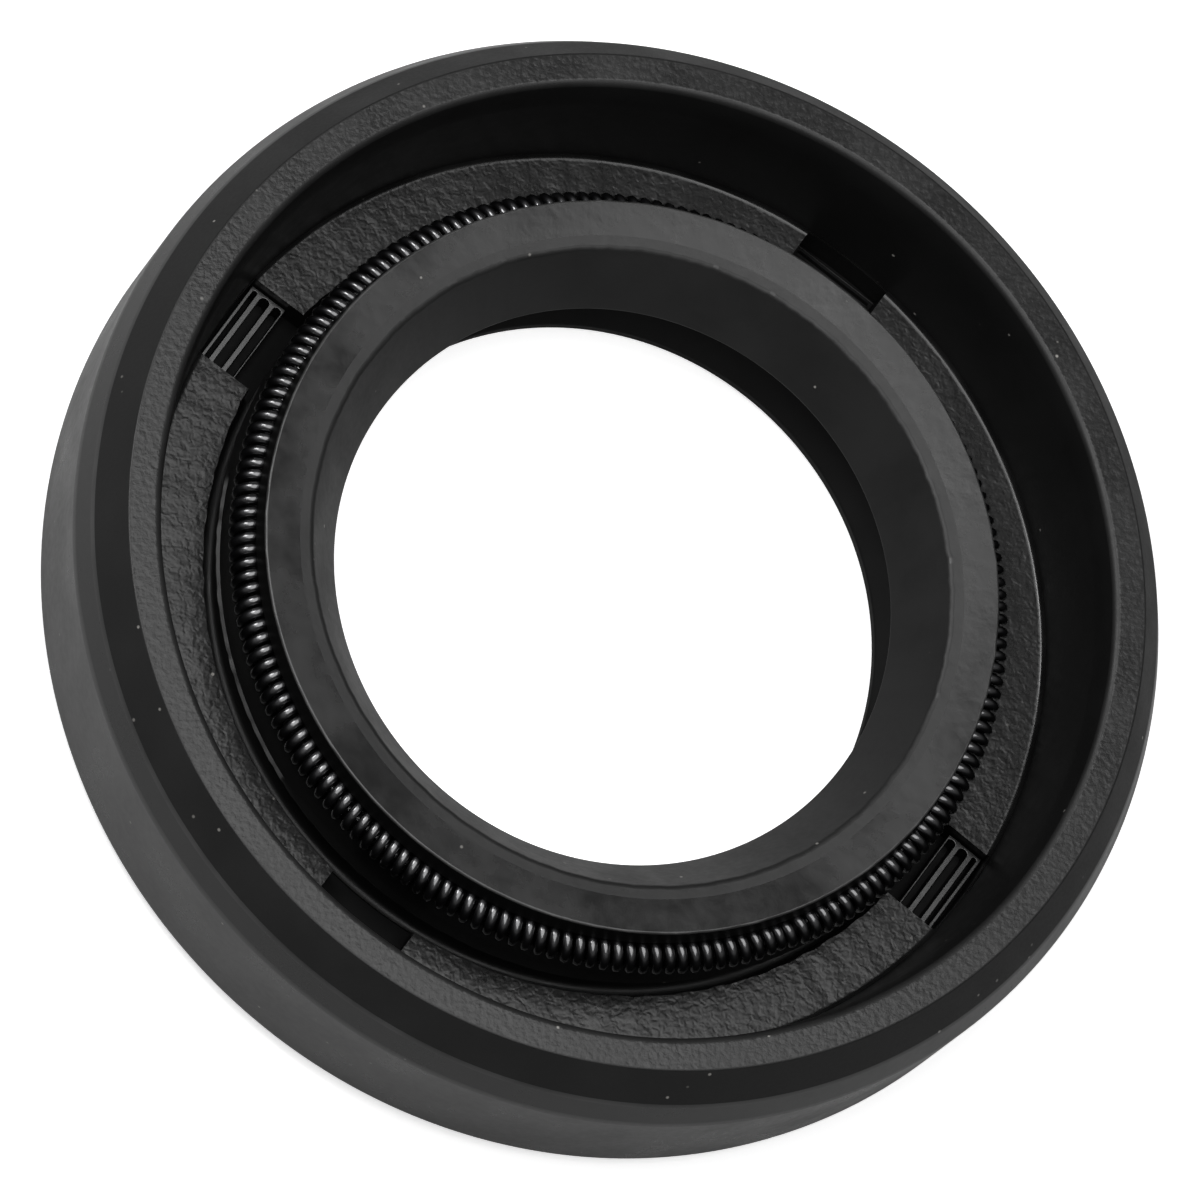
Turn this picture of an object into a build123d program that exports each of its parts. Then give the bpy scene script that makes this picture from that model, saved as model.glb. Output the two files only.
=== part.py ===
from build123d import *
from math import atan2, cos, degrees, radians, sin
import os

# Radial shaft seal for a 19 mm shaft in a 35 mm housing bore, 7 mm wide, with a dust lip.
# The seal lies on its back face with its axis on Z. The spring side faces up.
# Every piece but the spring and the notches is turned: a section in the XZ plane, X being the
# distance from the axis, goes once around Z.

# ---------- driving dimensions, millimetres and degrees ----------

shaft_diameter = 19.0
housing_diameter = 35.0
width = 7.0

# rubber cover
back_chamfer_height = 0.7
back_chamfer_inset = 0.35
lead_in_drop = 2.05
shoulder_drop = 1.15
shoulder_inset = 0.36
rim_outer_inset = 1.2
rim_width = 0.7
rim_edge_width = 0.48
rim_edge_drop = 0.7
wall_draft = 0.49

# floor between the cover and the lip, and the valley beside the lip
floor_height = 2.3
valley_height = 1.35
valley_top_width = 0.99
valley_bottom_width = 0.4
valley_draft = 0.1

# support notches in the floor, each with slots down to the insert
notch_count = 4
notch_first_angle = 52.6
notch_width = 3.1
slot_count = 3
slot_fill = 0.62
slot_end_gap = 0.25
slot_side_margin = 0.6
slot_shift = 0.45

# garter spring
spring_turns = 188
spring_coil_diameter = 1.1
spring_offset = 3.08
spring_height = 4.7
turn_sides = 6
turn_depth = 0.13
groove_play = 0.02
groove_first_angle = 104.0
groove_last_angle = 290.0

# sealing lip
lip_interference = 0.5
lip_height = 3.81
oil_slope_width = 1.26
nose_height = 6.08
nose_slope = 0.17
nose_width = 1.54
groove_ridge_overhang = 0.42
groove_ridge_height = 3.0
air_slope_width = 1.55
air_slope_height = 1.9
neck_thickness = 1.2
neck_height = 2.25

# dust lip
dust_lip_clearance = 0.1
dust_lip_height = 0.26
dust_lip_land = 0.3
dust_lip_reach = 0.85
dust_root_height = 1.35
dust_back_reach = 0.5

# steel insert
insert_thickness = 0.8
insert_cover = 0.75
insert_back_cover = 0.35
insert_front_cover = 1.4
insert_corner = 0.7
insert_neck_gap = 0.6

# ---------- values that follow ----------

housing_radius = housing_diameter / 2
rim_outer_radius = housing_radius - rim_outer_inset
rim_inner_radius = rim_outer_radius - rim_width
wall_top_radius = rim_inner_radius - rim_edge_width

lip_radius = shaft_diameter / 2 - lip_interference
nose_inner_radius = lip_radius + oil_slope_width
nose_outer_radius = nose_inner_radius + nose_width
neck_inner_radius = lip_radius + air_slope_width
neck_outer_radius = neck_inner_radius + neck_thickness

dust_lip_radius = shaft_diameter / 2 + dust_lip_clearance
dust_root_radius = dust_lip_radius + dust_lip_reach
dust_back_radius = dust_lip_radius + dust_back_reach

spring_ring_radius = lip_radius + spring_offset
coil_radius = spring_coil_diameter / 2
turn_angle = 360 / spring_turns
turn_pitch = spring_ring_radius * radians(turn_angle)
turn_taper = degrees(atan2(turn_depth, turn_pitch / 2))
turn_reach = 0.7 * turn_pitch
groove_radius = coil_radius + groove_play
groove_centre_radius = spring_ring_radius + groove_play
groove_ridge_radius = spring_ring_radius + groove_ridge_overhang

floor_outer_radius = wall_top_radius - wall_draft
floor_inner_radius = neck_outer_radius + valley_top_width
floor_width = floor_outer_radius - floor_inner_radius
valley_outer_radius = floor_inner_radius - valley_draft
valley_inner_radius = valley_outer_radius - valley_bottom_width
slot_pitch = floor_width / (slot_count + 2 * slot_side_margin)
slot_middle_radius = (floor_outer_radius + floor_inner_radius) / 2 + slot_shift * slot_pitch

insert_outer_radius = housing_radius - insert_cover
insert_inner_radius = insert_outer_radius - insert_thickness
insert_hole_radius = neck_outer_radius + insert_neck_gap
insert_floor_height = insert_back_cover + insert_thickness
insert_height = width - insert_front_cover


def groove_point(angle):
    """Point of the spring groove's round bottom, at an angle about the middle of the wire coil."""
    return (
        groove_centre_radius + groove_radius * cos(radians(angle)),
        spring_height + groove_radius * sin(radians(angle)),
    )


# ---------- steel insert: cylindrical leg and flange, pressed in one piece ----------

with BuildPart() as steel_insert:
    with BuildSketch(Plane.XZ) as insert_section:
        with BuildLine():
            Polyline(
                (insert_hole_radius, insert_back_cover),
                (insert_outer_radius, insert_back_cover),
                (insert_outer_radius, insert_height),
                (insert_inner_radius, insert_height),
                (insert_inner_radius, insert_floor_height),
                (insert_hole_radius, insert_floor_height),
                close=True,
            )
        make_face()
        bend = (insert_outer_radius, insert_back_cover)
        chamfer(insert_section.vertices().sort_by_distance(bend)[0], length=insert_corner)
    revolve(axis=Axis.Z)

steel_insert.part.label = "steel_insert"

# ---------- rubber moulding: cover, sealing lip and dust lip in one ----------

with BuildPart() as rubber_moulding:
    with BuildSketch(Plane.XZ) as moulding_section:
        with BuildLine():
            # dust lip, back face, cover, floor and valley, up to the back of the spring groove
            Polyline(
                (dust_root_radius, dust_root_height),
                (dust_lip_radius, dust_lip_height + dust_lip_land),
                (dust_lip_radius, dust_lip_height),
                (dust_back_radius, 0),
                (housing_radius - back_chamfer_inset, 0),
                (housing_radius, back_chamfer_height),
                (housing_radius, width - lead_in_drop),
                (housing_radius - shoulder_inset, width - shoulder_drop),
                (rim_outer_radius, width),
                (rim_inner_radius, width),
                (wall_top_radius, width - rim_edge_drop),
                (floor_outer_radius, floor_height),
                (floor_inner_radius, floor_height),
                (valley_outer_radius, valley_height),
                (valley_inner_radius, valley_height),
                (neck_outer_radius, neck_height),
                (groove_ridge_radius, groove_ridge_height),
                groove_point(groove_last_angle),
            )
            # spring groove
            ThreePointArc(
                groove_point(groove_last_angle),
                groove_point((groove_first_angle + groove_last_angle) / 2),
                groove_point(groove_first_angle),
            )
            # nose, oil side and air side of the sealing lip
            Polyline(
                groove_point(groove_first_angle),
                (nose_outer_radius, nose_height),
                (nose_inner_radius, nose_height - nose_slope),
                (lip_radius, lip_height),
                (neck_inner_radius, air_slope_height),
                (dust_root_radius, dust_root_height),
            )
        make_face()
    revolve(axis=Axis.Z)

    # support notches, from the cavity wall to the valley
    with BuildSketch(Plane.XY.offset(valley_height)):
        with PolarLocations(floor_inner_radius, notch_count, start_angle=notch_first_angle):
            Rectangle(4 * floor_width, notch_width)
        Circle(floor_outer_radius, mode=Mode.INTERSECT)
        Circle(valley_outer_radius, mode=Mode.SUBTRACT)
    extrude(amount=floor_height - valley_height, mode=Mode.SUBTRACT)

    # slots in the notch floors, where the mould held the insert
    with BuildSketch(Plane.XY.offset(insert_floor_height)):
        with PolarLocations(slot_middle_radius, notch_count, start_angle=notch_first_angle):
            with GridLocations(slot_pitch, 0, slot_count, 1):
                SlotOverall(notch_width - 2 * slot_end_gap, slot_fill * slot_pitch, rotation=90)
    extrude(amount=valley_height - insert_floor_height, mode=Mode.SUBTRACT)

    # room for the insert
    add(steel_insert.part, mode=Mode.SUBTRACT)

rubber_moulding.part.label = "rubber_moulding"

# ---------- garter spring: a close-wound coil joined end to end ----------

# One turn narrows both ways from its crest, and ends on the two planes that it shares with the
# turns beside it.
with BuildPart() as spring_turn:
    with BuildSketch(Plane.XZ):
        with Locations((spring_ring_radius, spring_height)):
            RegularPolygon(coil_radius, turn_sides)
    extrude(amount=turn_reach)
    draft(
        spring_turn.faces().sort_by(Axis.Y)[1:-1],
        neutral_plane=Plane.XZ,
        angle=turn_taper,
    )
    mirror(about=Plane.XZ)
    split(bisect_by=Plane.XZ.rotated((0, 0, turn_angle / 2)), keep=Keep.TOP)
    split(bisect_by=Plane.XZ.rotated((0, 0, -turn_angle / 2)), keep=Keep.BOTTOM)

with BuildPart() as garter_spring:
    with PolarLocations(0, spring_turns):
        add(spring_turn.part)

garter_spring.part.label = "garter_spring"

os.makedirs("parts", exist_ok=True)
export_step(rubber_moulding.part, "parts/rubber_moulding.step")
export_step(steel_insert.part, "parts/steel_insert.step")
export_step(garter_spring.part, "parts/garter_spring.step")
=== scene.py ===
"""Radial shaft seal, 19 x 35 x 7 mm, dressed over its CAD frame and set on a white floor.

The seal is three pieces. A black nitrile rubber moulding is the press-in cover, the cavity floor and
the sealing lip in one. A garter spring lies in the groove round the lip. A pressed steel insert is
bonded inside the rubber and shows only at the bottom of the slots in the four notches.

All sizes in the classes are millimetres. One helper, mm(), turns them to Blender's metres.
"""

import logging
import math
import random
from collections.abc import Callable
from dataclasses import dataclass, field
from enum import Enum

import bmesh
import bpy
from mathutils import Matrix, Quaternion, Vector

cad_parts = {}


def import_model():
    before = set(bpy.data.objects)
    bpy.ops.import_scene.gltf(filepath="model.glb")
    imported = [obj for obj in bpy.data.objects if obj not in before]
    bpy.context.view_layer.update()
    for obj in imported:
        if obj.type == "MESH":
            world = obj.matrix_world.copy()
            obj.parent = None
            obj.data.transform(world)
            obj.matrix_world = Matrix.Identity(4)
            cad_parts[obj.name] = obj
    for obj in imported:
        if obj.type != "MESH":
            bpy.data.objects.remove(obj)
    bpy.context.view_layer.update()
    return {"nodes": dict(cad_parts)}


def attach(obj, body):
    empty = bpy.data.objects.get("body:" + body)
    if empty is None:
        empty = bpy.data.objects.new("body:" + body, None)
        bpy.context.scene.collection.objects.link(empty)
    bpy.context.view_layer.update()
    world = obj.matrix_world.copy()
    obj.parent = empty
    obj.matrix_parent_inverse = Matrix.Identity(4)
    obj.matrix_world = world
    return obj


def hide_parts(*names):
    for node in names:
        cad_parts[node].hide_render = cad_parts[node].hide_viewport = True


log = logging.getLogger("shaft_seal")

MM = 0.001
BODY = "root"

Corner = tuple[float, float]
Place = tuple[float, float, float]
Shift = Callable[[float], tuple[float, float]]


def mm(*values: float) -> tuple[float, ...]:
    """Turns millimetres to metres.

    Args:
        values: Lengths in millimetres.

    Returns:
        The same lengths in metres.
    """
    return tuple(v * MM for v in values)


def linear(code: str) -> tuple[float, float, float, float]:
    """Turns an sRGB hex colour to the linear values that a shader takes.

    Args:
        code: A colour such as "#1C1C1D".

    Returns:
        Linear red, green, blue and an alpha of 1.
    """
    channels = [int(code[i : i + 2], 16) / 255 for i in (1, 3, 5)]
    low = [c / 12.92 if c <= 0.04045 else ((c + 0.055) / 1.055) ** 2.4 for c in channels]
    return (low[0], low[1], low[2], 1.0)


# ---------------------------------------------------------------- node trees

SHADER = "Principled BSDF"
SMOOTH = {"interpolation_type": "SMOOTHSTEP"}


class Tree:
    """The node tree of a material or of the world, built one node at a time."""

    def __init__(self, owner: bpy.types.Material | bpy.types.World) -> None:
        """Opens a node tree.

        Args:
            owner: The material or world that the nodes belong to.
        """
        owner.use_nodes = True
        self.nodes = owner.node_tree.nodes
        self.links = owner.node_tree.links

    def feed(self, node: bpy.types.Node, inputs: dict[int | str, object]) -> None:
        """Links or sets a node's inputs.

        Args:
            node: The node.
            inputs: A value or an output socket for each input, by name or number.
        """
        for key, value in inputs.items():
            if isinstance(value, bpy.types.NodeSocket):
                self.links.new(value, node.inputs[key])
            else:
                node.inputs[key].default_value = value

    def add(
        self, kind: str, inputs: dict | tuple = (), out: int | str = 0, **settings: object
    ) -> bpy.types.NodeSocket:
        """Adds a node with its settings and links.

        Args:
            kind: Blender's name for the kind of node, without "ShaderNode".
            inputs: A value or an output socket for each input, by name, or in a tuple in order.
            out: The output that is wanted.
            settings: The node's own properties.

        Returns:
            The output socket.
        """
        node = self.nodes.new("ShaderNode" + kind)
        for key, value in settings.items():
            setattr(node, key, value)
        self.feed(node, inputs if isinstance(inputs, dict) else dict(enumerate(inputs)))
        return node.outputs[out]


def repeats(size: float) -> float:
    """Gives the scale at which one patch of a texture has a stated size.

    Args:
        size: Size of the patch in millimetres.

    Returns:
        The texture's scale on coordinates in metres.
    """
    return 1 / (size * MM)


# ---------------------------------------------------------------- rubber finishes

# Nitrile rubber's usual IOR, and the patches that a mould leaves. A patch is the stretch of the
# noise's values in which a change sets in.
RUBBER_IOR = 1.52
CLOUD_SIZE, CLOUD_DETAIL = 2.4, 4.0
GRAIN_DETAIL = 3.0
BLOOM_PATCH = (0.35, 0.75)
GLOSS_PATCH = (0.3, 0.7)
GRAIN_PATCH, GRAIN_ROUGHNESS = (0.25, 0.75), (-0.02, 0.03)
PIT_PATCH, PIT_BLOOM = (0.45, 0.7), 0.5
PEBBLE_PATCH, PEBBLE_DEPTH = (0.3, 0.65), (1.6, 2.8)
PEBBLE_DETAIL, PEBBLE_TWIST = 1.0, 0.3

# Dust is drawn coarser than real dust, so that it shows.
DUST_COLOUR = "#8E8C88"
DUST_CELL, DUST_RADIUS, DUST_CORE = 0.6, 0.07, 0.4
DUST_SHARE = 0.3


class Grain(Enum):
    """What a mould or a trimming knife left on a surface."""

    FINE = "fine"
    PEBBLED = "pebbled"
    PITTED = "pitted"


def specks(tree: Tree, place: bpy.types.NodeSocket, share: float) -> bpy.types.NodeSocket:
    """Strews small round specks of dust, one in some of the cells of a grid.

    Args:
        tree: The material being built.
        place: Coordinates in metres.
        share: Share of the cells that hold a speck.

    Returns:
        A mask, up to 1 on a speck.
    """
    distance = tree.add("TexVoronoi", {"Vector": place, "Scale": repeats(DUST_CELL)}, "Distance")
    reach = DUST_RADIUS / DUST_CELL
    near = tree.add("MapRange", (distance, DUST_CORE * reach, reach, 1.0, 0.0), **SMOOTH)
    chance = tree.add("SeparateColor", (distance.node.outputs["Color"],))
    chosen = tree.add("Math", (chance, share), operation="LESS_THAN")
    strength = tree.add("Math", (chosen, chance.node.outputs[1]), operation="MULTIPLY")
    return tree.add("Math", (near, strength), operation="MULTIPLY")


@dataclass(frozen=True)
class RubberFinish:
    """One finish of moulded nitrile rubber.

    Attributes:
        name: The material's name.
        colour: Colour of the rubber itself.
        bloom: Colour where wax and dust have come to the surface.
        bloom_share: How much of the bloom shows, 0 to 1.
        roughness: Lowest and highest roughness, from patch to patch.
        grain: The kind of relief.
        grain_mm: Size of one grain.
        relief_mm: Depth of the relief.
        shine: Strength of the mirror light, 0.5 being that of clean rubber.
        dust: How many specks of dust lie on it, 0 to 1.
    """

    name: str
    colour: str
    bloom: str
    bloom_share: float
    roughness: tuple[float, float]
    grain: Grain
    grain_mm: float
    relief_mm: float
    shine: float
    dust: float

    def relief(
        self, tree: Tree, place: bpy.types.NodeSocket, cloud: bpy.types.NodeSocket, fine: bpy.types.NodeSocket
    ) -> bpy.types.NodeSocket:
        """Makes the height that the bump follows.

        Args:
            tree: The material being built.
            place: Coordinates in metres.
            cloud: Noise in large patches.
            fine: Noise the size of one grain.

        Returns:
            The fine noise, or pebbles that are deeper in some patches.
        """
        if self.grain is not Grain.PEBBLED:
            return fine
        settings = {"Scale": repeats(self.grain_mm), "Detail": PEBBLE_DETAIL, "Distortion": PEBBLE_TWIST}
        pebbles = tree.add("TexNoise", {"Vector": place, **settings}, "Fac")
        depth = tree.add("MapRange", (cloud, *PEBBLE_PATCH, *PEBBLE_DEPTH), **SMOOTH)
        return tree.add("Math", (pebbles, depth), operation="MULTIPLY")

    def material(self) -> bpy.types.Material:
        """Makes the material of this finish.

        Returns:
            The material.
        """
        material = bpy.data.materials.new(self.name)
        tree = Tree(material)
        place = tree.add("TexCoord", out="Object")
        cloud = tree.add(
            "TexNoise", {"Vector": place, "Scale": repeats(CLOUD_SIZE), "Detail": CLOUD_DETAIL}, "Fac"
        )
        fine = tree.add(
            "TexNoise", {"Vector": place, "Scale": repeats(self.grain_mm), "Detail": GRAIN_DETAIL}, "Fac"
        )
        patch = tree.add("MapRange", (cloud, *BLOOM_PATCH, 0.0, 1.0), **SMOOTH)
        bloom = tree.add("Math", (patch, self.bloom_share), operation="MULTIPLY")
        if self.grain is Grain.PITTED:
            pits = tree.add("MapRange", (fine, *PIT_PATCH, 0.0, 1.0), **SMOOTH)
            pits = tree.add("Math", (pits, PIT_BLOOM), operation="MULTIPLY")
            bloom = tree.add("Math", (bloom, pits), operation="ADD")
        ends = {"A": linear(self.colour), "B": linear(self.bloom)}
        colour = tree.add("Mix", {"Factor": bloom, **ends}, "Result", data_type="RGBA")
        dust = specks(tree, place, DUST_SHARE * self.dust)
        ends = {"A": colour, "B": linear(DUST_COLOUR)}
        dusted = tree.add("Mix", {"Factor": dust, **ends}, "Result", data_type="RGBA")
        gloss = tree.add("MapRange", (cloud, *GLOSS_PATCH, *self.roughness), **SMOOTH)
        scatter = tree.add("MapRange", (fine, *GRAIN_PATCH, *GRAIN_ROUGHNESS), **SMOOTH)
        height = self.relief(tree, place, cloud, fine)
        bump = {"Height": height, "Strength": 1.0, "Distance": self.relief_mm * MM}
        shader = {
            "Base Color": dusted,
            "Roughness": tree.add("Math", (gloss, scatter), operation="ADD"),
            "Normal": tree.add("Bump", bump, "Normal"),
            "IOR": RUBBER_IOR,
            "Specular IOR Level": self.shine,
        }
        tree.feed(tree.nodes[SHADER], shader)
        return material


# Nitrile rubber from a polished or an eroded mould. It is a very dark, neutral black. What tells
# its zones apart is gloss: a sanded mould gives satin, a polished one gives a dark mirror, an
# eroded one gives pebbles, and a trimming knife leaves a pitted, paler face. Three finishes also
# carry painted light: the dark recess and dark bore finishes are painted shade, and the lighter
# edge finish is a painted highlight.
COVER = RubberFinish(
    "nitrile_rubber_satin_cover", "#1B1B1B", "#2E2E2E", 0.25, (0.26, 0.36), Grain.FINE, 0.25, 0.002, 0.5, 0.6
)
SHOULDER = RubberFinish(
    "nitrile_rubber_matte_shoulder", "#141414", "#202020", 0.3, (0.48, 0.58),
    Grain.FINE, 0.12, 0.003, 0.3, 0.8,
)
RIM = RubberFinish(
    "nitrile_rubber_trimmed_rim", "#191919", "#2C2C2C", 0.4, (0.30, 0.40), Grain.PITTED, 0.2, 0.026, 0.38, 1.0
)
CAVITY = RubberFinish(
    "nitrile_rubber_polished_cavity", "#121212", "#181818", 0.2, (0.34, 0.42),
    Grain.FINE, 0.5, 0.001, 0.25, 0.3,
)
FLOOR = RubberFinish(
    "nitrile_rubber_pebbled_floor", "#161616", "#242424", 0.3, (0.26, 0.34),
    Grain.PEBBLED, 0.22, 0.011, 0.39, 0.3,
)
NOSE = RubberFinish(
    "nitrile_rubber_mottled_lip", "#0F0F0F", "#1E1E1E", 0.5, (0.18, 0.30), Grain.FINE, 0.5, 0.005, 0.55, 0.6
)
TRIM = RubberFinish(
    "nitrile_rubber_knife_trimmed_lip", "#181818", "#242424", 0.3, (0.36, 0.42),
    Grain.FINE, 0.15, 0.004, 0.45, 0.4,
)
DULL = RubberFinish(
    "nitrile_rubber_dull_slope", "#181818", "#222222", 0.3, (0.42, 0.52), Grain.FINE, 0.2, 0.003, 0.34, 0.4
)
# Painted shade: the darkest, least shiny copy of the rubber, on the air side under the lip and on the dust
# lip, where shade falls.
SHADED_BORE = RubberFinish(
    "nitrile_rubber_painted_shade_bore", "#0A0A0A", "#121212", 0.2, (0.45, 0.60), Grain.FINE, 0.3, 0.002, 0.15, 0.1
)
# Painted shade: a darker, duller copy of the rubber on the notch floors, the steep sides of the high rails
# and the nose's outer side above the groove, where shade falls.
SHADED_RECESS = RubberFinish(
    "nitrile_rubber_painted_shade_recess", "#0B0B0B", "#121212", 0.2, (0.50, 0.60),
    Grain.FINE, 0.2, 0.002, 0.08, 0.1,
)
RAIL = RubberFinish(
    "nitrile_rubber_glossy_notch_rail", "#222222", "#2E2E2E", 0.2, (0.20, 0.28),
    Grain.FINE, 0.3, 0.001, 1.0, 0.1,
)
# Painted highlight: a lighter copy of the rubber, with a lighter bloom, along the rounded edges of the
# lead-in, the shoulder, the nose and the low rails, for the thin light lines those edges catch.
EDGE = RubberFinish(
    "nitrile_rubber_painted_highlight_edge", "#282828", "#404040", 0.6, (0.34, 0.44), Grain.FINE, 0.15, 0.003, 0.5, 0.5
)
RUBBER_FINISHES = [COVER, SHOULDER, RIM, CAVITY, FLOOR, NOSE, TRIM, DULL, SHADED_BORE, SHADED_RECESS, RAIL, EDGE]


# ---------------------------------------------------------------- steel finishes

STAIN_DETAIL = 3.0
STAIN_GLOSS = (0.3, 0.8)


@dataclass(frozen=True)
class SteelFinish:
    """One finish of steel, with stains that change its colour and its gloss.

    Attributes:
        name: The material's name.
        colour: Colour between the stains.
        stain: Colour of the stains.
        stain_mm: Size of one stain.
        stain_patch: Stretch of the noise in which a stain sets in, or None where it is soft all over.
        roughness: Lowest and highest roughness.
        sockets: The shader's other inputs, each the same all over.
    """

    name: str
    colour: str
    stain: str
    stain_mm: float
    stain_patch: tuple[float, float] | None
    roughness: tuple[float, float]
    sockets: dict[str, object]

    def material(self) -> bpy.types.Material:
        """Makes the material of this finish.

        Returns:
            The material.
        """
        material = bpy.data.materials.new(self.name)
        tree = Tree(material)
        place = tree.add("TexCoord", out="Object")
        stain = tree.add(
            "TexNoise", {"Vector": place, "Scale": repeats(self.stain_mm), "Detail": STAIN_DETAIL}, "Fac"
        )
        share = stain
        if self.stain_patch:
            share = tree.add("MapRange", (stain, *self.stain_patch, 0.0, 1.0), **SMOOTH)
        ends = {"A": linear(self.colour), "B": linear(self.stain)}
        colour = tree.add("Mix", {"Factor": share, **ends}, "Result", data_type="RGBA")
        rough = tree.add("MapRange", (stain, *STAIN_GLOSS, *self.roughness), **SMOOTH)
        tree.feed(tree.nodes[SHADER], {"Base Color": colour, "Roughness": rough, **self.sockets})
        return material


# Drawn spring steel wire under a thin film of black oxide and oil. The film darkens the steel, and
# its gloss keeps a sharp light on each turn.
SPRING_WIRE = SteelFinish(
    "spring_steel_black_oxide_drawn",
    "#343436",
    "#424244",
    0.5,
    (0.35, 0.75),
    (0.36, 0.44),
    {
        "Metallic": 1.0,
        "Specular Tint": linear("#505052"),
        "Coat Weight": 1.0,
        "Coat Roughness": 0.16,
        "Coat IOR": 1.8,
    },
)

# Cold-rolled steel under a brushed coat of dark bonding primer: a dull grey-black, slightly mottled.
INSERT_STEEL = SteelFinish(
    "cold_rolled_steel_bonding_primer",
    "#0F0F0F",
    "#191919",
    0.4,
    None,
    (0.55, 0.7),
    {"Specular IOR Level": 0.12},
)


# ---------------------------------------------------------------- modelling helpers

# In metres: how near a vertex is to the place it is looked for, and how near two doubles are.
NEAR = 2e-6
UPRIGHT = 1e-6
DOUBLES = 1e-7

# A face whose normal rises this far looks up.
LOOKS_UP = 0.9


def deselect() -> None:
    """Leaves edit mode and deselects every object."""
    if bpy.context.mode != "OBJECT":
        bpy.ops.object.mode_set(mode="OBJECT")
    bpy.ops.object.select_all(action="DESELECT")


def activate(piece: bpy.types.Object) -> None:
    """Makes one object the only one selected.

    Args:
        piece: The object.
    """
    deselect()
    piece.select_set(True)
    bpy.context.view_layer.objects.active = piece


def settle(piece: bpy.types.Object, name: str) -> bpy.types.Object:
    """Names a piece and moves its place into its mesh.

    Args:
        piece: The object.
        name: Its name.

    Returns:
        The same object, at the origin and unturned.
    """
    piece.name = name
    piece.data.name = name
    activate(piece)
    bpy.ops.object.transform_apply(location=True, rotation=True, scale=True)
    return piece


def enlarge(piece: bpy.types.Object, factor: float) -> None:
    """Scales a mesh about the origin.

    Args:
        piece: The object, at the origin.
        factor: The scale.
    """
    activate(piece)
    piece.scale = (factor,) * 3
    bpy.ops.object.transform_apply(scale=True)


def cut(piece: bpy.types.Object, tool: bpy.types.Object, how: str) -> None:
    """Cuts one mesh with another and throws the tool away.

    Both are a thousand times larger while they are cut, since the cut drops details of a micrometre.

    Args:
        piece: The mesh that is cut.
        tool: The mesh that cuts.
        how: DIFFERENCE or INTERSECT.
    """
    enlarge(tool, 1 / MM)
    enlarge(piece, 1 / MM)
    modifier = piece.modifiers.new("cut", "BOOLEAN")
    modifier.operation = how
    modifier.solver = "EXACT"
    modifier.object = tool
    bpy.ops.object.modifier_apply(modifier=modifier.name)
    bpy.data.objects.remove(tool)
    enlarge(piece, MM)


def edit(piece: bpy.types.Object, kind: str) -> None:
    """Opens a mesh in edit mode.

    Args:
        piece: The object.
        kind: What is selected there, EDGE or FACE.
    """
    activate(piece)
    bpy.ops.object.mode_set(mode="EDIT")
    bpy.ops.mesh.select_mode(type=kind)


def pick(piece: bpy.types.Object, kind: str, chosen: Callable[[object], bool]) -> None:
    """Selects what passes a test, and nothing else, on a mesh in edit mode.

    Args:
        piece: The object.
        kind: The mesh's "edges" or "faces".
        chosen: The test.
    """
    bpy.ops.mesh.select_all(action="DESELECT")
    mesh = bmesh.from_edit_mesh(piece.data)
    for part in getattr(mesh, kind):
        part.select_set(chosen(part))
    bmesh.update_edit_mesh(piece.data)


def bevel(piece: bpy.types.Object, size: float, steps: int, chosen: Callable[[object], bool]) -> None:
    """Rounds the edges that pass a test, on a mesh in edit mode.

    Args:
        piece: The object.
        size: How far the rounding reaches from the edge.
        steps: Number of facets across it.
        chosen: The test.
    """
    pick(piece, "edges", chosen)
    bpy.ops.mesh.bevel(offset=size * MM, segments=steps, profile=0.5, affect="EDGES", clamp_overlap=False)


def at_corner(corner: Corner) -> Callable[[bmesh.types.BMEdge], bool]:
    """Makes the test for the ring of edges at one corner of a turned section.

    Args:
        corner: Its radius and height.

    Returns:
        The test.
    """

    def chosen(edge: bmesh.types.BMEdge) -> bool:
        """Tells whether an edge lies on the ring."""
        return all(
            abs(v.co.xy.length - corner[0] * MM) < NEAR and abs(v.co.z - corner[1] * MM) < NEAR
            for v in edge.verts
        )

    return chosen


def bar(angle: float, radius: float, size: Place, bottom: float) -> bpy.types.Object:
    """Makes a block that lies across a notch.

    Args:
        angle: The notch's angle.
        radius: Distance of the block's middle from the axis.
        size: Its size outward, along the notch and up.
        bottom: Height of its bottom.

    Returns:
        The block.
    """
    turn = math.radians(angle)
    deselect()
    bpy.ops.mesh.primitive_cube_add(
        size=1,
        location=mm(radius * math.cos(turn), radius * math.sin(turn), bottom + size[2] / 2),
        rotation=(0, 0, turn),
        scale=mm(*size),
    )
    return bpy.context.object


def merge(blocks: list[bpy.types.Object], name: str) -> bpy.types.Object:
    """Joins blocks that don't touch into one tool.

    Args:
        blocks: The blocks.
        name: The tool's name.

    Returns:
        The tool.
    """
    deselect()
    for block in blocks:
        block.select_set(True)
    bpy.context.view_layer.objects.active = blocks[0]
    bpy.ops.object.join()
    return settle(bpy.context.object, name)


# ---------------------------------------------------------------- wear

SINK_ANGLE = 45.0
SINK_DEPTH = 0.4

# Torn flash is a sum of waves, each with its count round the ring and its strength.
WAVES = 14
WAVE_COUNTS = (6, 150)
WAVE_STRENGTHS = (0.2, 1)
WAVE_CREST = 0.45


def sink(angle: float) -> float:
    """Works out how far the spring has pulled its groove down, which it has on one side only.

    Args:
        angle: Angle round the seal's axis in degrees.

    Returns:
        The move up in millimetres, below zero for a move down.
    """
    return -SINK_DEPTH * max(0.0, math.cos(math.radians(angle - SINK_ANGLE))) ** 2


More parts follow.
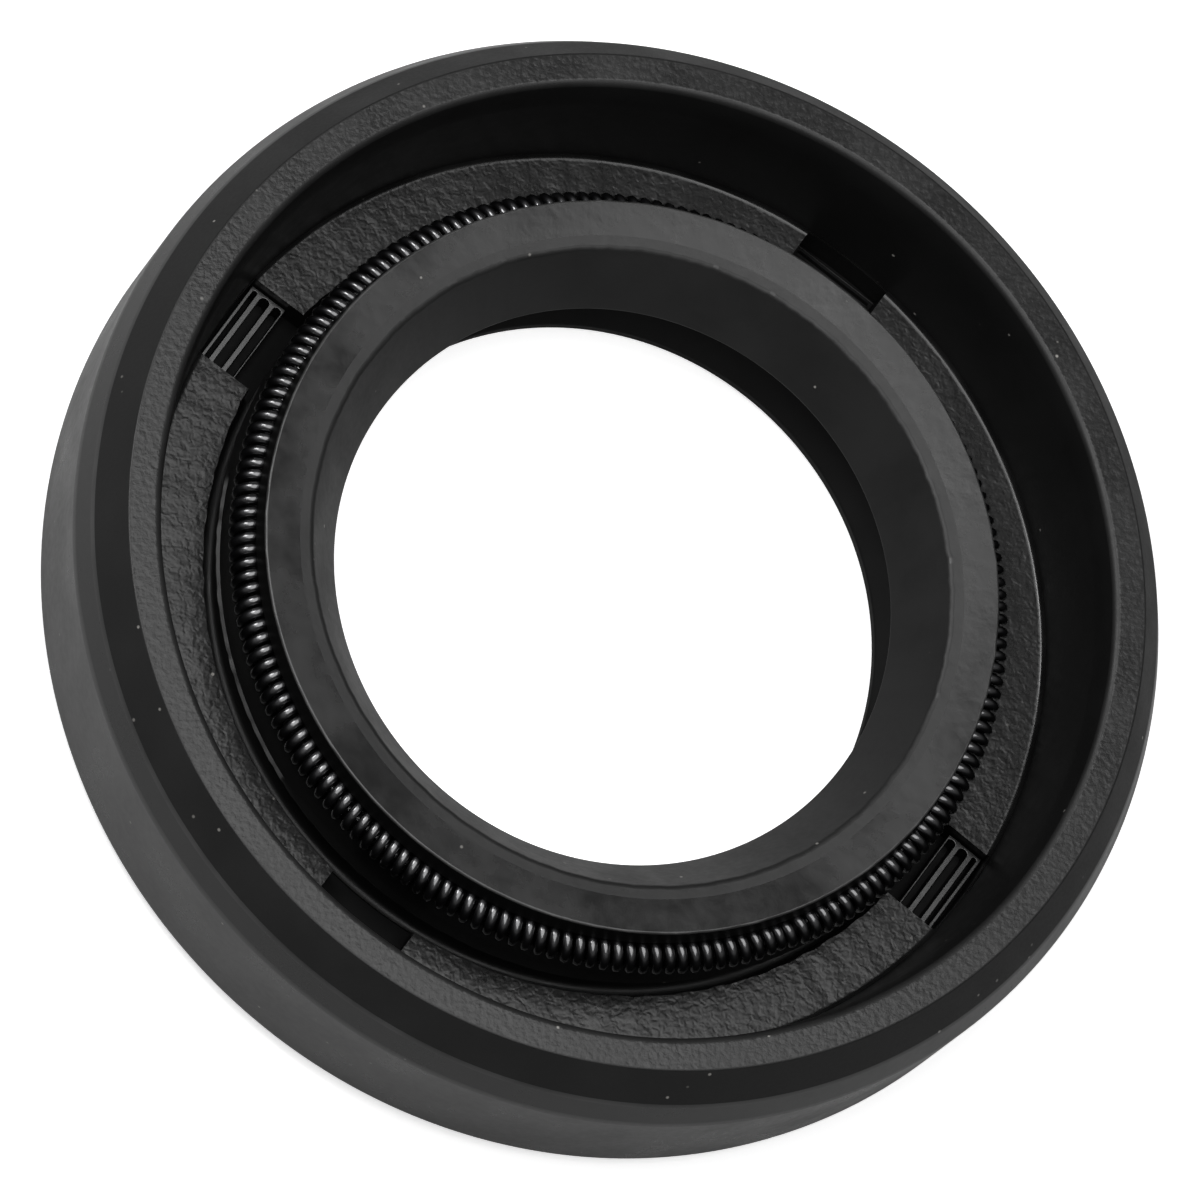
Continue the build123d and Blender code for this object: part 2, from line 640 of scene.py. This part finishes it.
def ragged(outward: float, upward: float, seed: int) -> Shift:
    """Makes the uneven run of torn flash.

    Args:
        outward: Usual largest move away from the axis.
        upward: Usual largest move up.
        seed: Starts the random waves.

    Returns:
        The move at an angle in degrees.
    """
    chance = random.Random(seed)
    waves = [
        (chance.randint(*WAVE_COUNTS), chance.uniform(0, math.tau), chance.uniform(*WAVE_STRENGTHS))
        for _ in range(WAVES)
    ]
    total = sum(strength for _, _, strength in waves) * WAVE_CREST

    def move(angle: float) -> tuple[float, float]:
        """Adds up the waves at one angle."""
        turn = math.radians(angle)
        level = sum(strength * math.sin(count * turn + start) for count, start, strength in waves) / total
        return (outward * level, upward * level)

    return move


# ---------------------------------------------------------------- rubber moulding


@dataclass(frozen=True)
class Slot:
    """One slot in a notch's floor.

    Attributes:
        radius: Distance of its middle line from the axis.
        width: Its width.
    """

    radius: float
    width: float


@dataclass
class RubberMoulding:
    """The rubber moulding: cover, cavity, sealing lip and dust lip, turned from one section.

    A corner of the section is its radius and its height.
    """

    segments: int = 360

    # cover and rim
    housing_radius: float = 17.5
    width: float = 7.0
    back_chamfer: tuple[float, float] = (0.35, 0.7)
    lead_in: Corner = (17.5, 4.95)
    shoulder: Corner = (17.14, 5.85)
    rim_outer: float = 16.3
    rim_inner: float = 15.31

    # cavity
    wall_top: Corner = (15.08, 6.2)
    floor_outer: float = 14.63
    floor_inner: float = 12.74
    floor_height: float = 2.3
    valley_height: float = 1.35
    valley_outer: float = 12.64
    valley_inner: float = 12.24

    # neck of the lip, with the flash ridge and the ledge that is left on one side
    neck: Corner = (11.75, 2.25)
    ridge: Corner = (12.55, 2.95)
    ledge: Corner = (12.42, 3.01)
    ledge_span: tuple[float, float] = (163.0, 214.0)
    ledge_rise: float = 0.2
    ledge_fade: float = 6.0
    ledge_slack: float = 0.01
    jaw: Corner = (12.31, 3.45)

    # spring groove
    groove_centre: Corner = (11.98, 4.72)
    groove_radius: float = 0.64
    groove_angles: tuple[float, float] = (290.0, 97.0)
    groove_steps: int = 16
    groove_slack: float = 0.02

    # sealing lip and dust lip
    nose_outer: Corner = (11.80, 6.08)
    nose_trim: Corner = (10.68, 5.956)
    nose_inner: Corner = (10.26, 5.91)
    lip: Corner = (9.0, 3.81)
    air_slope: Corner = (10.55, 1.9)
    dust_root: Corner = (10.45, 1.35)
    dust_lip: float = 9.6
    dust_lip_heights: tuple[float, float] = (0.56, 0.26)
    dust_back: float = 10.1

    # notches, each with a low pad that the slots cut into rails
    notch_angles: tuple[float, ...] = (53.0, 143.6, 232.5, 321.4)
    notch_width: float = 3.13
    notch_reach: float = 6.0
    notch_wall_gap: float = 0.02
    notch_neck_gap: float = 0.2
    pit_height: float = 1.25
    rail_heights: tuple[float, ...] = (1.35, 1.85, 1.35, 1.85)
    rail_rounding: float = 0.045
    rail_steps: int = 3
    pad_radii: tuple[float, float] = (13.17, 14.48)
    pad_length: float = 3.01
    slots: tuple[Slot, ...] = (Slot(13.385, 0.25), Slot(13.86, 0.30), Slot(14.275, 0.13))
    slot_length: float = 2.84
    slot_bottom: float = 1.12
    slot_end_share: float = 0.46
    flare_clearance: float = 0.003
    flare_angles: tuple[float, ...] = (30, 60, 90)

    # how far from its place outward, along the notch and up an edge of a rail may lie
    rail_slack: Place = (0.01, 0.005, 0.002)

    # how far the cutting tools stand out of the rubber
    notch_tool_rise: float = 0.4
    slot_tool_rise: float = 0.3

    # limits of the finishes: distances from the corners above, and how far a face there looks up
    highlight_edge_reaches: tuple[float, float, float] = (0.09, 0.075, 0.07)
    foot_height: float = 0.9
    rim_round: tuple[float, float] = (0.1, 0.2)
    rim_flatness: float = 0.985
    root_width: float = 0.17
    root_heights: tuple[float, float] = (0.01, 0.15)
    wall_margin: float = 0.04
    floor_round: tuple[float, float] = (0.06, 0.05)
    rail_top: tuple[float, float] = (-0.02, 0.09)
    rail_margin: float = 0.05
    rail_edge_margin: float = 0.04
    rail_flatness: float = 0.8
    pit_flatness: float = 0.5
    nose_depth: float = 0.2
    nose_back: float = 0.02
    bore_edge: float = 0.08
    bore_flatness: float = 0.97

    smooth_angle: float = 35.0
    seed: int = 3
    body: bpy.types.Object | None = field(default=None, init=False)

    def groove(self) -> list[Corner]:
        """Works out the round bottom of the spring groove.

        Returns:
            Its points, from the back of the groove to the nose.
        """
        first, last = self.groove_angles
        angles = [first + (last - first) * i / self.groove_steps for i in range(self.groove_steps + 1)]
        radius, height = self.groove_centre
        reach = self.groove_radius
        return [
            (radius + reach * math.cos(math.radians(a)), height + reach * math.sin(math.radians(a)))
            for a in angles
        ]

    def section(self) -> list[Corner]:
        """Lists the corners of the section.

        Returns:
            The corners, from the back face round the outside to the dust lip.
        """
        return [
            (self.dust_back, 0.0),
            (self.housing_radius - self.back_chamfer[0], 0.0),
            (self.housing_radius, self.back_chamfer[1]),
            self.lead_in,
            self.shoulder,
            (self.rim_outer, self.width),
            (self.rim_inner, self.width),
            self.wall_top,
            (self.floor_outer, self.floor_height),
            (self.floor_inner, self.floor_height),
            (self.valley_outer, self.valley_height),
            (self.valley_inner, self.valley_height),
            self.neck,
            self.ridge,
            self.ledge,
            self.jaw,
            *self.groove(),
            self.nose_outer,
            self.nose_trim,
            self.nose_inner,
            self.lip,
            self.air_slope,
            self.dust_root,
            (self.dust_lip, self.dust_lip_heights[0]),
            (self.dust_lip, self.dust_lip_heights[1]),
        ]

    def turn(self) -> None:
        """Turns the section: a ring is extruded from corner to corner and closed on itself."""
        section = self.section()
        radius, height = section[0]
        deselect()
        bpy.ops.mesh.primitive_circle_add(
            vertices=self.segments, radius=radius * MM, location=mm(0, 0, height), fill_type="NOTHING"
        )
        self.body = bpy.context.object
        settle(self.body, "nitrile_rubber_moulding")
        bpy.ops.object.mode_set(mode="EDIT")
        bpy.ops.mesh.select_all(action="SELECT")
        for next_radius, next_height in section[1:] + section[:1]:
            grow = next_radius / radius
            bpy.ops.mesh.extrude_edges_move()
            bpy.ops.transform.resize(value=(grow, grow, 1), center_override=(0, 0, height * MM))
            bpy.ops.transform.translate(value=mm(0, 0, next_height - height))
            radius, height = next_radius, next_height
        bpy.ops.mesh.select_all(action="SELECT")
        bpy.ops.mesh.remove_doubles(threshold=DOUBLES)
        bpy.ops.mesh.normals_make_consistent(inside=False)
        bpy.ops.object.mode_set(mode="OBJECT")

    def round_corners(self) -> None:
        """Rounds each corner's ring, by a size and in a number of facets."""
        roundings = [
            ((self.rim_inner, self.width), 0.19, 5),
            (self.wall_top, 0.45, 4),
            ((self.rim_outer, self.width), 0.05, 2),
            (self.shoulder, 0.09, 3),
            (self.lead_in, 0.13, 3),
            ((self.housing_radius, self.back_chamfer[1]), 0.15, 2),
            ((self.housing_radius - self.back_chamfer[0], 0.0), 0.1, 2),
            ((self.floor_outer, self.floor_height), 0.18, 4),
            ((self.floor_inner, self.floor_height), 0.03, 2),
            ((self.valley_outer, self.valley_height), 0.15, 3),
            ((self.valley_inner, self.valley_height), 0.15, 3),
            (self.neck, 0.3, 3),
            (self.ridge, 0.04, 2),
            (self.nose_outer, 0.07, 3),
            (self.nose_inner, 0.12, 2),
            (self.lip, 0.04, 2),
            (self.air_slope, 0.25, 2),
            ((self.dust_lip, self.dust_lip_heights[0]), 0.06, 2),
        ]
        edit(self.body, "EDGE")
        for corner, size, steps in roundings:
            bevel(self.body, size, steps, at_corner(corner))
        bpy.ops.object.mode_set(mode="OBJECT")

    def shift_ring(self, corner: Corner, reach: float, shift: Shift) -> None:
        """Moves the vertices near one corner of the section, by an amount that changes round the ring.

        Args:
            corner: Its radius and height.
            reach: How far from the corner a vertex still moves.
            shift: Gives the move outward and upward at an angle in degrees.
        """
        for vertex in self.body.data.vertices:
            place = vertex.co
            out = place.xy.length / MM
            if math.hypot(out - corner[0], place.z / MM - corner[1]) > reach:
                continue
            angle = math.degrees(math.atan2(place.y, place.x)) % 360
            outward, upward = shift(angle)
            grow = (out + outward) / out
            vertex.co = (place.x * grow, place.y * grow, place.z + upward * MM)

    def lift(self, angle: float) -> tuple[float, float]:
        """Works out how far the ledge is drawn up into the jaw, where it doesn't stand out.

        Args:
            angle: Angle round the seal's axis in degrees.

        Returns:
            The move outward and upward.
        """
        first, last = self.ledge_span
        inside = min(angle - first, last - angle) / self.ledge_fade
        return (0.0, self.ledge_rise * (1 - min(max(inside + 0.5, 0.0), 1.0)))

    def wear(self) -> None:
        """Pulls the groove down on one side and leaves the mould's flash and the ledge uneven."""
        groove_reach = self.groove_radius + self.groove_slack
        self.shift_ring(self.groove_centre, groove_reach, lambda angle: (0.0, sink(angle)))
        self.shift_ring(self.ledge, self.ledge_slack, self.lift)
        flash = [
            (self.ridge, 0.08, 0.02, 0.012),
            ((self.floor_inner, self.floor_height), 0.05, 0.03, 0.015),
            (self.nose_outer, 0.07, 0.012, 0.006),
            (self.nose_inner, 0.14, 0.02, 0.01),
        ]
        for count, (corner, reach, outward, upward) in enumerate(flash):
            self.shift_ring(corner, reach, ragged(outward, upward, self.seed + count))

    def notch_tool(self) -> bpy.types.Object:
        """Makes the tool that cuts the four notches and leaves a low pad in each.

        Returns:
            The tool.
        """
        top = self.floor_height + self.notch_tool_rise
        size = (self.notch_reach, self.notch_width, top - self.pit_height)
        blocks = [bar(angle, self.floor_outer, size, self.pit_height) for angle in self.notch_angles]
        tool = merge(blocks, "notches")
        trims = (
            (self.floor_outer - self.notch_wall_gap, "INTERSECT"),
            (self.valley_outer - self.notch_neck_gap, "DIFFERENCE"),
        )
        for radius, how in trims:
            deselect()
            bpy.ops.mesh.primitive_cylinder_add(
                vertices=self.segments, radius=radius * MM, depth=4 * top * MM, location=(0, 0, 0)
            )
            cut(tool, settle(bpy.context.object, "trim"), how)
        inner, outer = self.pad_radii
        pads = []
        for angle, height in zip(self.notch_angles, self.rail_heights):
            size = (outer - inner, self.pad_length, 2 * (height - self.pit_height))
            pads.append(bar(angle, (inner + outer) / 2, size, 2 * self.pit_height - height))
        cut(tool, merge(pads, "pads"), "DIFFERENCE")
        return tool

    def slot_block(self, slot: Slot, angle: float, rail_height: float) -> bpy.types.Object:
        """Makes the tool for one slot, round at both ends and flared at the top to round the rails.

        Args:
            slot: The slot.
            angle: The notch's angle.
            rail_height: Height of the rails beside the slot.

        Returns:
            The tool.
        """
        flare = self.rail_rounding
        top = rail_height + self.flare_clearance - flare
        deselect()
        bpy.ops.mesh.primitive_cube_add(
            size=1,
            location=mm(0, 0, (self.slot_bottom + top) / 2),
            scale=mm(slot.width, self.slot_length, top - self.slot_bottom),
        )
        block = settle(bpy.context.object, "slot")
        edit(block, "EDGE")
        bevel(
            block,
            self.slot_end_share * slot.width,
            self.rail_steps,
            lambda edge: (edge.verts[0].co.xy - edge.verts[1].co.xy).length < UPRIGHT,
        )
        edit(block, "FACE")
        pick(block, "faces", lambda face: face.normal.z > LOOKS_UP)
        wide, long, high = slot.width, self.slot_length, 0.0
        for step in self.flare_angles:
            out = 2 * flare * (1 - math.cos(math.radians(step)))
            up = flare * math.sin(math.radians(step))
            grow = ((slot.width + out) / wide, (self.slot_length + out) / long, 1)
            bpy.ops.mesh.extrude_region_move(TRANSFORM_OT_translate={"value": mm(0, 0, up - high)})
            bpy.ops.transform.resize(value=grow, center_override=(0, 0, 0))
            wide, long, high = slot.width + out, self.slot_length + out, up
        bpy.ops.mesh.extrude_region_move(TRANSFORM_OT_translate={"value": mm(0, 0, self.slot_tool_rise)})
        bpy.ops.object.mode_set(mode="OBJECT")
        turn = math.radians(angle)
        block.location = mm(slot.radius * math.cos(turn), slot.radius * math.sin(turn), 0)
        block.rotation_euler.z = turn
        return settle(block, "slot")

    def slot_tool(self) -> bpy.types.Object:
        """Makes the tool that cuts the slots through the pads, down past the insert's face.

        Returns:
            The tool.
        """
        places = zip(self.notch_angles, self.rail_heights)
        return merge([self.slot_block(slot, a, h) for a, h in places for slot in self.slots], "slots")

    def on_rail(self, edge: bmesh.types.BMEdge, angle: float, height: float) -> bool:
        """Tells whether an edge is one of the two long outer edges of the rails in a notch.

        Args:
            edge: The edge.
            angle: The notch's angle.
            height: Height of its rails.

        Returns:
            True for an edge that runs along the notch.
        """
        turn = math.radians(angle)
        for vertex in edge.verts:
            x, y, z = (v / MM for v in vertex.co)
            out = x * math.cos(turn) + y * math.sin(turn)
            along = y * math.cos(turn) - x * math.sin(turn)
            if abs(z - height) > self.rail_slack[2] or abs(along) > self.notch_width / 2 - self.rail_slack[1]:
                return False
            if min(abs(out - radius) for radius in self.pad_radii) > self.rail_slack[0]:
                return False
        return edge.calc_length() > 0.5 * self.slot_length * MM

    def round_rails(self) -> None:
        """Rounds the outer edges of the rails that the slots leave standing in each notch."""
        notches = list(zip(self.notch_angles, self.rail_heights))
        edit(self.body, "EDGE")
        bevel(
            self.body,
            self.rail_rounding,
            self.rail_steps,
            lambda edge: any(self.on_rail(edge, angle, height) for angle, height in notches),
        )
        bpy.ops.object.mode_set(mode="OBJECT")

    def notch_zone(self, radius: float, height: float, up: float) -> RubberFinish:
        """Finds the finish of a face on the cavity floor or in a notch.

        Args:
            radius: Distance of the face's middle from the axis.
            height: Height of the face's middle.
            up: How far the face looks up, 1 being straight up.

        Returns:
            The finish.
        """
        if height > self.floor_height - self.floor_round[1]:
            return FLOOR
        lowest, highest = self.rail_top
        on_high_rail = lowest < max(self.rail_heights) - height < highest
        # Steep sides of the high rails get painted shade; their level tops get the glossy rail finish.
        if on_high_rail and radius > self.pad_radii[0] - self.rail_margin:
            return RAIL if up > self.rail_flatness else SHADED_RECESS
        # The outer edge of the low rails gets the lighter edge finish, a painted highlight.
        on_low_rail = 0 < min(self.rail_heights) - height < self.rail_rounding
        if on_low_rail and radius > self.pad_radii[1] - self.rail_edge_margin:
            return EDGE
        # Level faces low in the notch get painted shade.
        return SHADED_RECESS if up > self.pit_flatness else CAVITY

    def lip_zone(self, radius: float, height: float, up: float) -> RubberFinish:
        """Finds the finish of a face inside the cavity floor: the groove, the lips and the bore.

        Args:
            radius: Distance of the face's middle from the axis.
            height: Height of the face's middle.
            up: How far the face looks up, 1 being straight up.

        Returns:
            The finish.
        """
        if radius > self.groove_centre[0] and height < self.nose_outer[1] - self.nose_depth:
            return CAVITY
        # The nose's outer side above the groove gets painted shade.
        if radius > self.nose_outer[0] - self.nose_back:
            return SHADED_RECESS
        if height > self.lip[1]:
            if radius < self.nose_inner[0] + self.bore_edge and up < self.bore_flatness:
                return DULL
            return TRIM if radius < self.nose_trim[0] else NOSE
        # Under the lip, the air side and the dust lip get painted shade.
        return SHADED_BORE if height < self.lip[1] and radius < self.air_slope[0] else NOSE

    def zone(self, radius: float, height: float, up: float) -> RubberFinish:
        """Finds the finish of a face from its place.

        Args:
            radius: Distance of the face's middle from the axis.
            height: Height of the face's middle.
            up: How far the face looks up, 1 being straight up.

        Returns:
            The finish.
        """
        # Faces near the lead-in, shoulder and nose-edge corners get the lighter edge finish, a painted
        # highlight.
        for corner, reach in zip((self.lead_in, self.shoulder, self.nose_outer), self.highlight_edge_reaches):
            if math.hypot(radius - corner[0], height - corner[1]) < reach:
                return EDGE
        if radius > self.shoulder[0] or height < self.foot_height and radius > self.dust_back:
            return COVER
        if radius > self.rim_outer:
            return SHOULDER
        if radius > self.rim_inner - self.rim_round[0] and height > self.width - self.rim_round[1]:
            return RIM if up > self.rim_flatness else DULL
        lowest, highest = self.root_heights
        if radius > self.floor_outer - self.root_width and lowest < height - self.floor_height < highest:
            # The wall's rounded root shines as the nose does.
            return NOSE
        if radius > self.floor_outer - self.wall_margin:
            return CAVITY
        if radius > self.floor_inner - self.floor_round[0]:
            return self.notch_zone(radius, height, up)
        return self.lip_zone(radius, height, up)

    def dress(self) -> None:
        """Gives each zone its finish and smooths the shading."""
        self.body.data.materials.clear()
        for finish in RUBBER_FINISHES:
            self.body.data.materials.append(finish.material())
        for face in self.body.data.polygons:
            place = face.center
            finish = self.zone(place.xy.length / MM, place.z / MM, face.normal.z)
            face.material_index = RUBBER_FINISHES.index(finish)
        self.level()

    def level(self) -> None:
        """Shades the flat faces flat and keeps the turn of the light to the rounded edges.

        The modifier that does this compares areas in plain units, so the mesh is a thousand times
        larger while it runs.
        """
        activate(self.body)
        bpy.ops.object.shade_smooth_by_angle(angle=math.radians(self.smooth_angle))
        enlarge(self.body, 1 / MM)
        weighting = self.body.modifiers.new("level", "WEIGHTED_NORMAL")
        weighting.weight = 100
        weighting.keep_sharp = True
        bpy.ops.object.modifier_apply(modifier=weighting.name)
        enlarge(self.body, MM)

    def build(self) -> bpy.types.Object:
        """Builds the moulding and puts it in the place of its CAD node.

        Returns:
            The piece.
        """
        self.turn()
        self.round_corners()
        self.wear()
        cut(self.body, self.notch_tool(), "DIFFERENCE")
        cut(self.body, self.slot_tool(), "DIFFERENCE")
        self.round_rails()
        self.dress()
        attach(self.body, BODY)
        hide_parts("rubber_moulding")
        return self.body


# ---------------------------------------------------------------- garter spring


@dataclass
class GarterSpring:
    """The garter spring: round wire close-wound in a helix, its two ends screwed together.

    Near the joint the turns are a little narrower and closer, and the stiffer coil stands out.
    """

    turns: int = 188
    steps: int = 16
    wire: float = 0.34
    wire_resolution: int = 2
    coil: float = 1.25
    ring_radius: float = 11.97
    height: float = 4.72
    drift: float = 0.035
    joint_angle: float = 291.0
    joint_half: float = 2.6
    joint_pull: float = 0.25
    joint_taper: float = 0.2
    stiff_half: float = 45.0
    stiff_rise: float = 0.13
    seed: int = 7
    piece: bpy.types.Object | None = field(default=None, init=False)

    def path(self) -> list[Vector]:
        """Works out the middle of the wire.

        Returns:
            Points in metres, once round the ring.
        """
        chance = random.Random(self.seed)
        reach = (self.coil - self.wire) / 2
        drift = [chance.uniform(-self.drift, self.drift) for _ in range(self.turns)]
        points = []
        for i in range(self.turns * self.steps):
            turn, phase = divmod(i, self.steps)
            share = phase / self.steps
            wander = drift[turn] * (1 - share) + drift[(turn + 1) % self.turns] * share
            about = (turn + share + wander) * 360 / self.turns
            off = (about - self.joint_angle + 180) % 360 - 180
            near = math.exp(-((off / self.joint_half) ** 2))
            about -= off * self.joint_pull * near
            size = reach * (1 - self.joint_taper * near)
            angle = -math.tau * share
            stiff = self.stiff_rise * math.exp(-((off / self.stiff_half) ** 2))
            out = self.ring_radius + stiff + size * math.cos(angle)
            x, y = out * math.cos(math.radians(about)), out * math.sin(math.radians(about))
            points.append(Vector(mm(x, y, self.height + sink(about) + size * math.sin(angle))))
        return points

    def build(self) -> bpy.types.Object:
        """Winds the wire and puts it in the place of its CAD node.

        Returns:
            The piece.
        """
        deselect()
        bpy.ops.curve.primitive_nurbs_path_add(location=(0, 0, 0))
        wire = bpy.context.object.data
        wire.splines.clear()
        points = self.path()
        spline = wire.splines.new("POLY")
        spline.points.add(len(points) - 1)
        for point, place in zip(spline.points, points):
            point.co = (*place, 1.0)
        spline.use_cyclic_u = True
        wire.dimensions = "3D"
        wire.bevel_depth = self.wire / 2 * MM
        wire.bevel_resolution = self.wire_resolution
        bpy.ops.object.convert(target="MESH")
        self.piece = bpy.context.object
        settle(self.piece, "spring_steel_garter_coil")
        self.piece.data.materials.clear()
        self.piece.data.materials.append(SPRING_WIRE.material())
        bpy.ops.object.shade_smooth()
        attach(self.piece, BODY)
        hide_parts("garter_spring")
        return self.piece


# ---------------------------------------------------------------- insert


@dataclass
class SteelInsert:
    """The pressed steel insert. Its CAD node has its real shape and only gets its finish."""

    node: bpy.types.Object

    def dress(self) -> bpy.types.Object:
        """Gives the insert its finish.

        Returns:
            The CAD node.
        """
        self.node.data.materials.clear()
        self.node.data.materials.append(INSERT_STEEL.material())
        return self.node


# ---------------------------------------------------------------- studio


@dataclass
class Studio:
    """White floor, soft light from two lamps and the room, and the camera that looks down on the seal.

    The floor lies a hair below the back face, so that the two don't share a plane. Its shade is what
    lights the seal from below, and its white is what the camera sees.
    """

    eye: Place = (-78.55, -78.55, 243.30)
    target: Place = (-1.554, -1.577, 7.0)
    lens: float = 256.19
    sensor: float = 36.0
    clip: tuple[float, float] = (10.0, 20000.0)
    roll: float = 45.07
    floor_size: float = 4000.0
    floor_drop: float = 0.01
    floor_shade: str = "#BEBEBE"
    floor_white: str = "#F4F4F4"
    floor_glow: float = 0.6
    floor_roughness: float = 0.9
    floor_shine: float = 0.1
    box_place: Place = (-8.8, -8.8, 100.0)
    box_turn: float = 45.0
    box_size: float = 100.0
    box_watts: float = 0.092
    side_place: Place = (-77.0, 50.0, 118.0)
    side_size: float = 50.0
    side_watts: float = 0.09
    room_low: float = 0.042
    room_high: float = 0.225
    room_top: float = 0.8

    def camera(self) -> None:
        """Sets the camera, rolled about its own line of sight."""
        data = bpy.data.cameras.new("camera")
        data.sensor_width = self.sensor
        data.lens = self.lens
        data.clip_start, data.clip_end = mm(*self.clip)
        camera = bpy.data.objects.new("camera", data)
        bpy.context.scene.collection.objects.link(camera)
        eye, target = Vector(mm(*self.eye)), Vector(mm(*self.target))
        look = (target - eye).to_track_quat("-Z", "Y")
        camera.rotation_mode = "QUATERNION"
        camera.rotation_quaternion = look @ Quaternion((0, 0, 1), math.radians(self.roll))
        camera.location = eye
        bpy.context.scene.camera = camera

    def floor(self) -> None:
        """Lays a white floor that keeps the seal's shadow."""
        deselect()
        bpy.ops.mesh.primitive_plane_add(size=self.floor_size * MM, location=mm(0, 0, -self.floor_drop))
        floor = settle(bpy.context.object, "floor")
        paper = bpy.data.materials.new("white_paper_floor")
        tree = Tree(paper)
        shader = tree.nodes[SHADER]
        seen = tree.add("LightPath", out="Is Camera Ray")
        ends = {"A": linear(self.floor_shade), "B": linear(self.floor_white)}
        shade = tree.add("Mix", {"Factor": seen, **ends}, "Result", data_type="RGBA")
        gloss = {"Roughness": self.floor_roughness, "Specular IOR Level": self.floor_shine}
        tree.feed(shader, {"Base Color": shade, **gloss})
        strength = tree.add("Math", (seen, self.floor_glow), operation="MULTIPLY")
        glow = tree.add("Emission", {"Color": (1, 1, 1, 1), "Strength": strength})
        both = tree.add("AddShader", (shader.outputs[0], glow))
        tree.feed(tree.nodes["Material Output"], {"Surface": both})
        floor.data.materials.append(paper)

    def world(self) -> None:
        """Fills the room with soft light from above, dim at the horizon, and shows white behind all."""
        world = bpy.data.worlds.new("room")
        bpy.context.scene.world = world
        tree = Tree(world)
        up = tree.add("SeparateXYZ", (tree.add("TexCoord", out="Generated"),), "Z")
        room = tree.add("MapRange", (up, 0.0, self.room_top, self.room_low, self.room_high))
        seen = tree.add("LightPath", out="Is Camera Ray")
        level = tree.add("Mix", {"Factor": seen, "A": room, "B": 1.0}, "Result")
        tree.feed(tree.nodes["Background"], {"Color": (1, 1, 1, 1), "Strength": level})

    def lamp(self, name: str, place: Place, size: float, watts: float) -> bpy.types.Object:
        """Hangs a square lamp that the camera doesn't see.

        Args:
            name: Its name.
            place: Where it hangs.
            size: Length of its sides.
            watts: Its power.

        Returns:
            The lamp, shining straight down.
        """
        data = bpy.data.lights.new(name, "AREA")
        data.size = size * MM
        data.energy = watts
        lamp = bpy.data.objects.new(name, data)
        bpy.context.scene.collection.objects.link(lamp)
        lamp.location = mm(*place)
        lamp.visible_camera = False
        return lamp

    def lamps(self) -> None:
        """Hangs a softbox over the seal, one edge towards the camera, and a lamp turned to its side."""
        softbox = self.lamp("softbox", self.box_place, self.box_size, self.box_watts)
        softbox.rotation_euler.z = math.radians(self.box_turn)
        side = self.lamp("side_light", self.side_place, self.side_size, self.side_watts)
        side.rotation_mode = "QUATERNION"
        side.rotation_quaternion = (-side.location).to_track_quat("-Z", "Y")

    def build(self) -> None:
        """Sets up camera, floor, room and lamps."""
        self.camera()
        self.floor()
        self.world()
        self.lamps()
        bpy.context.scene.view_settings.view_transform = "Standard"


def main() -> None:
    """Builds the seal and its studio in order."""
    logging.basicConfig(level=logging.INFO, format="%(name)s: %(message)s")
    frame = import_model()
    insert = SteelInsert(frame["nodes"]["steel_insert"]).dress()
    log.info("%s: %d faces", insert.name, len(insert.data.polygons))
    for piece in (RubberMoulding().build(), GarterSpring().build()):
        log.info("%s: %d faces", piece.name, len(piece.data.polygons))
    Studio().build()


if __name__ == "__main__":
    main()
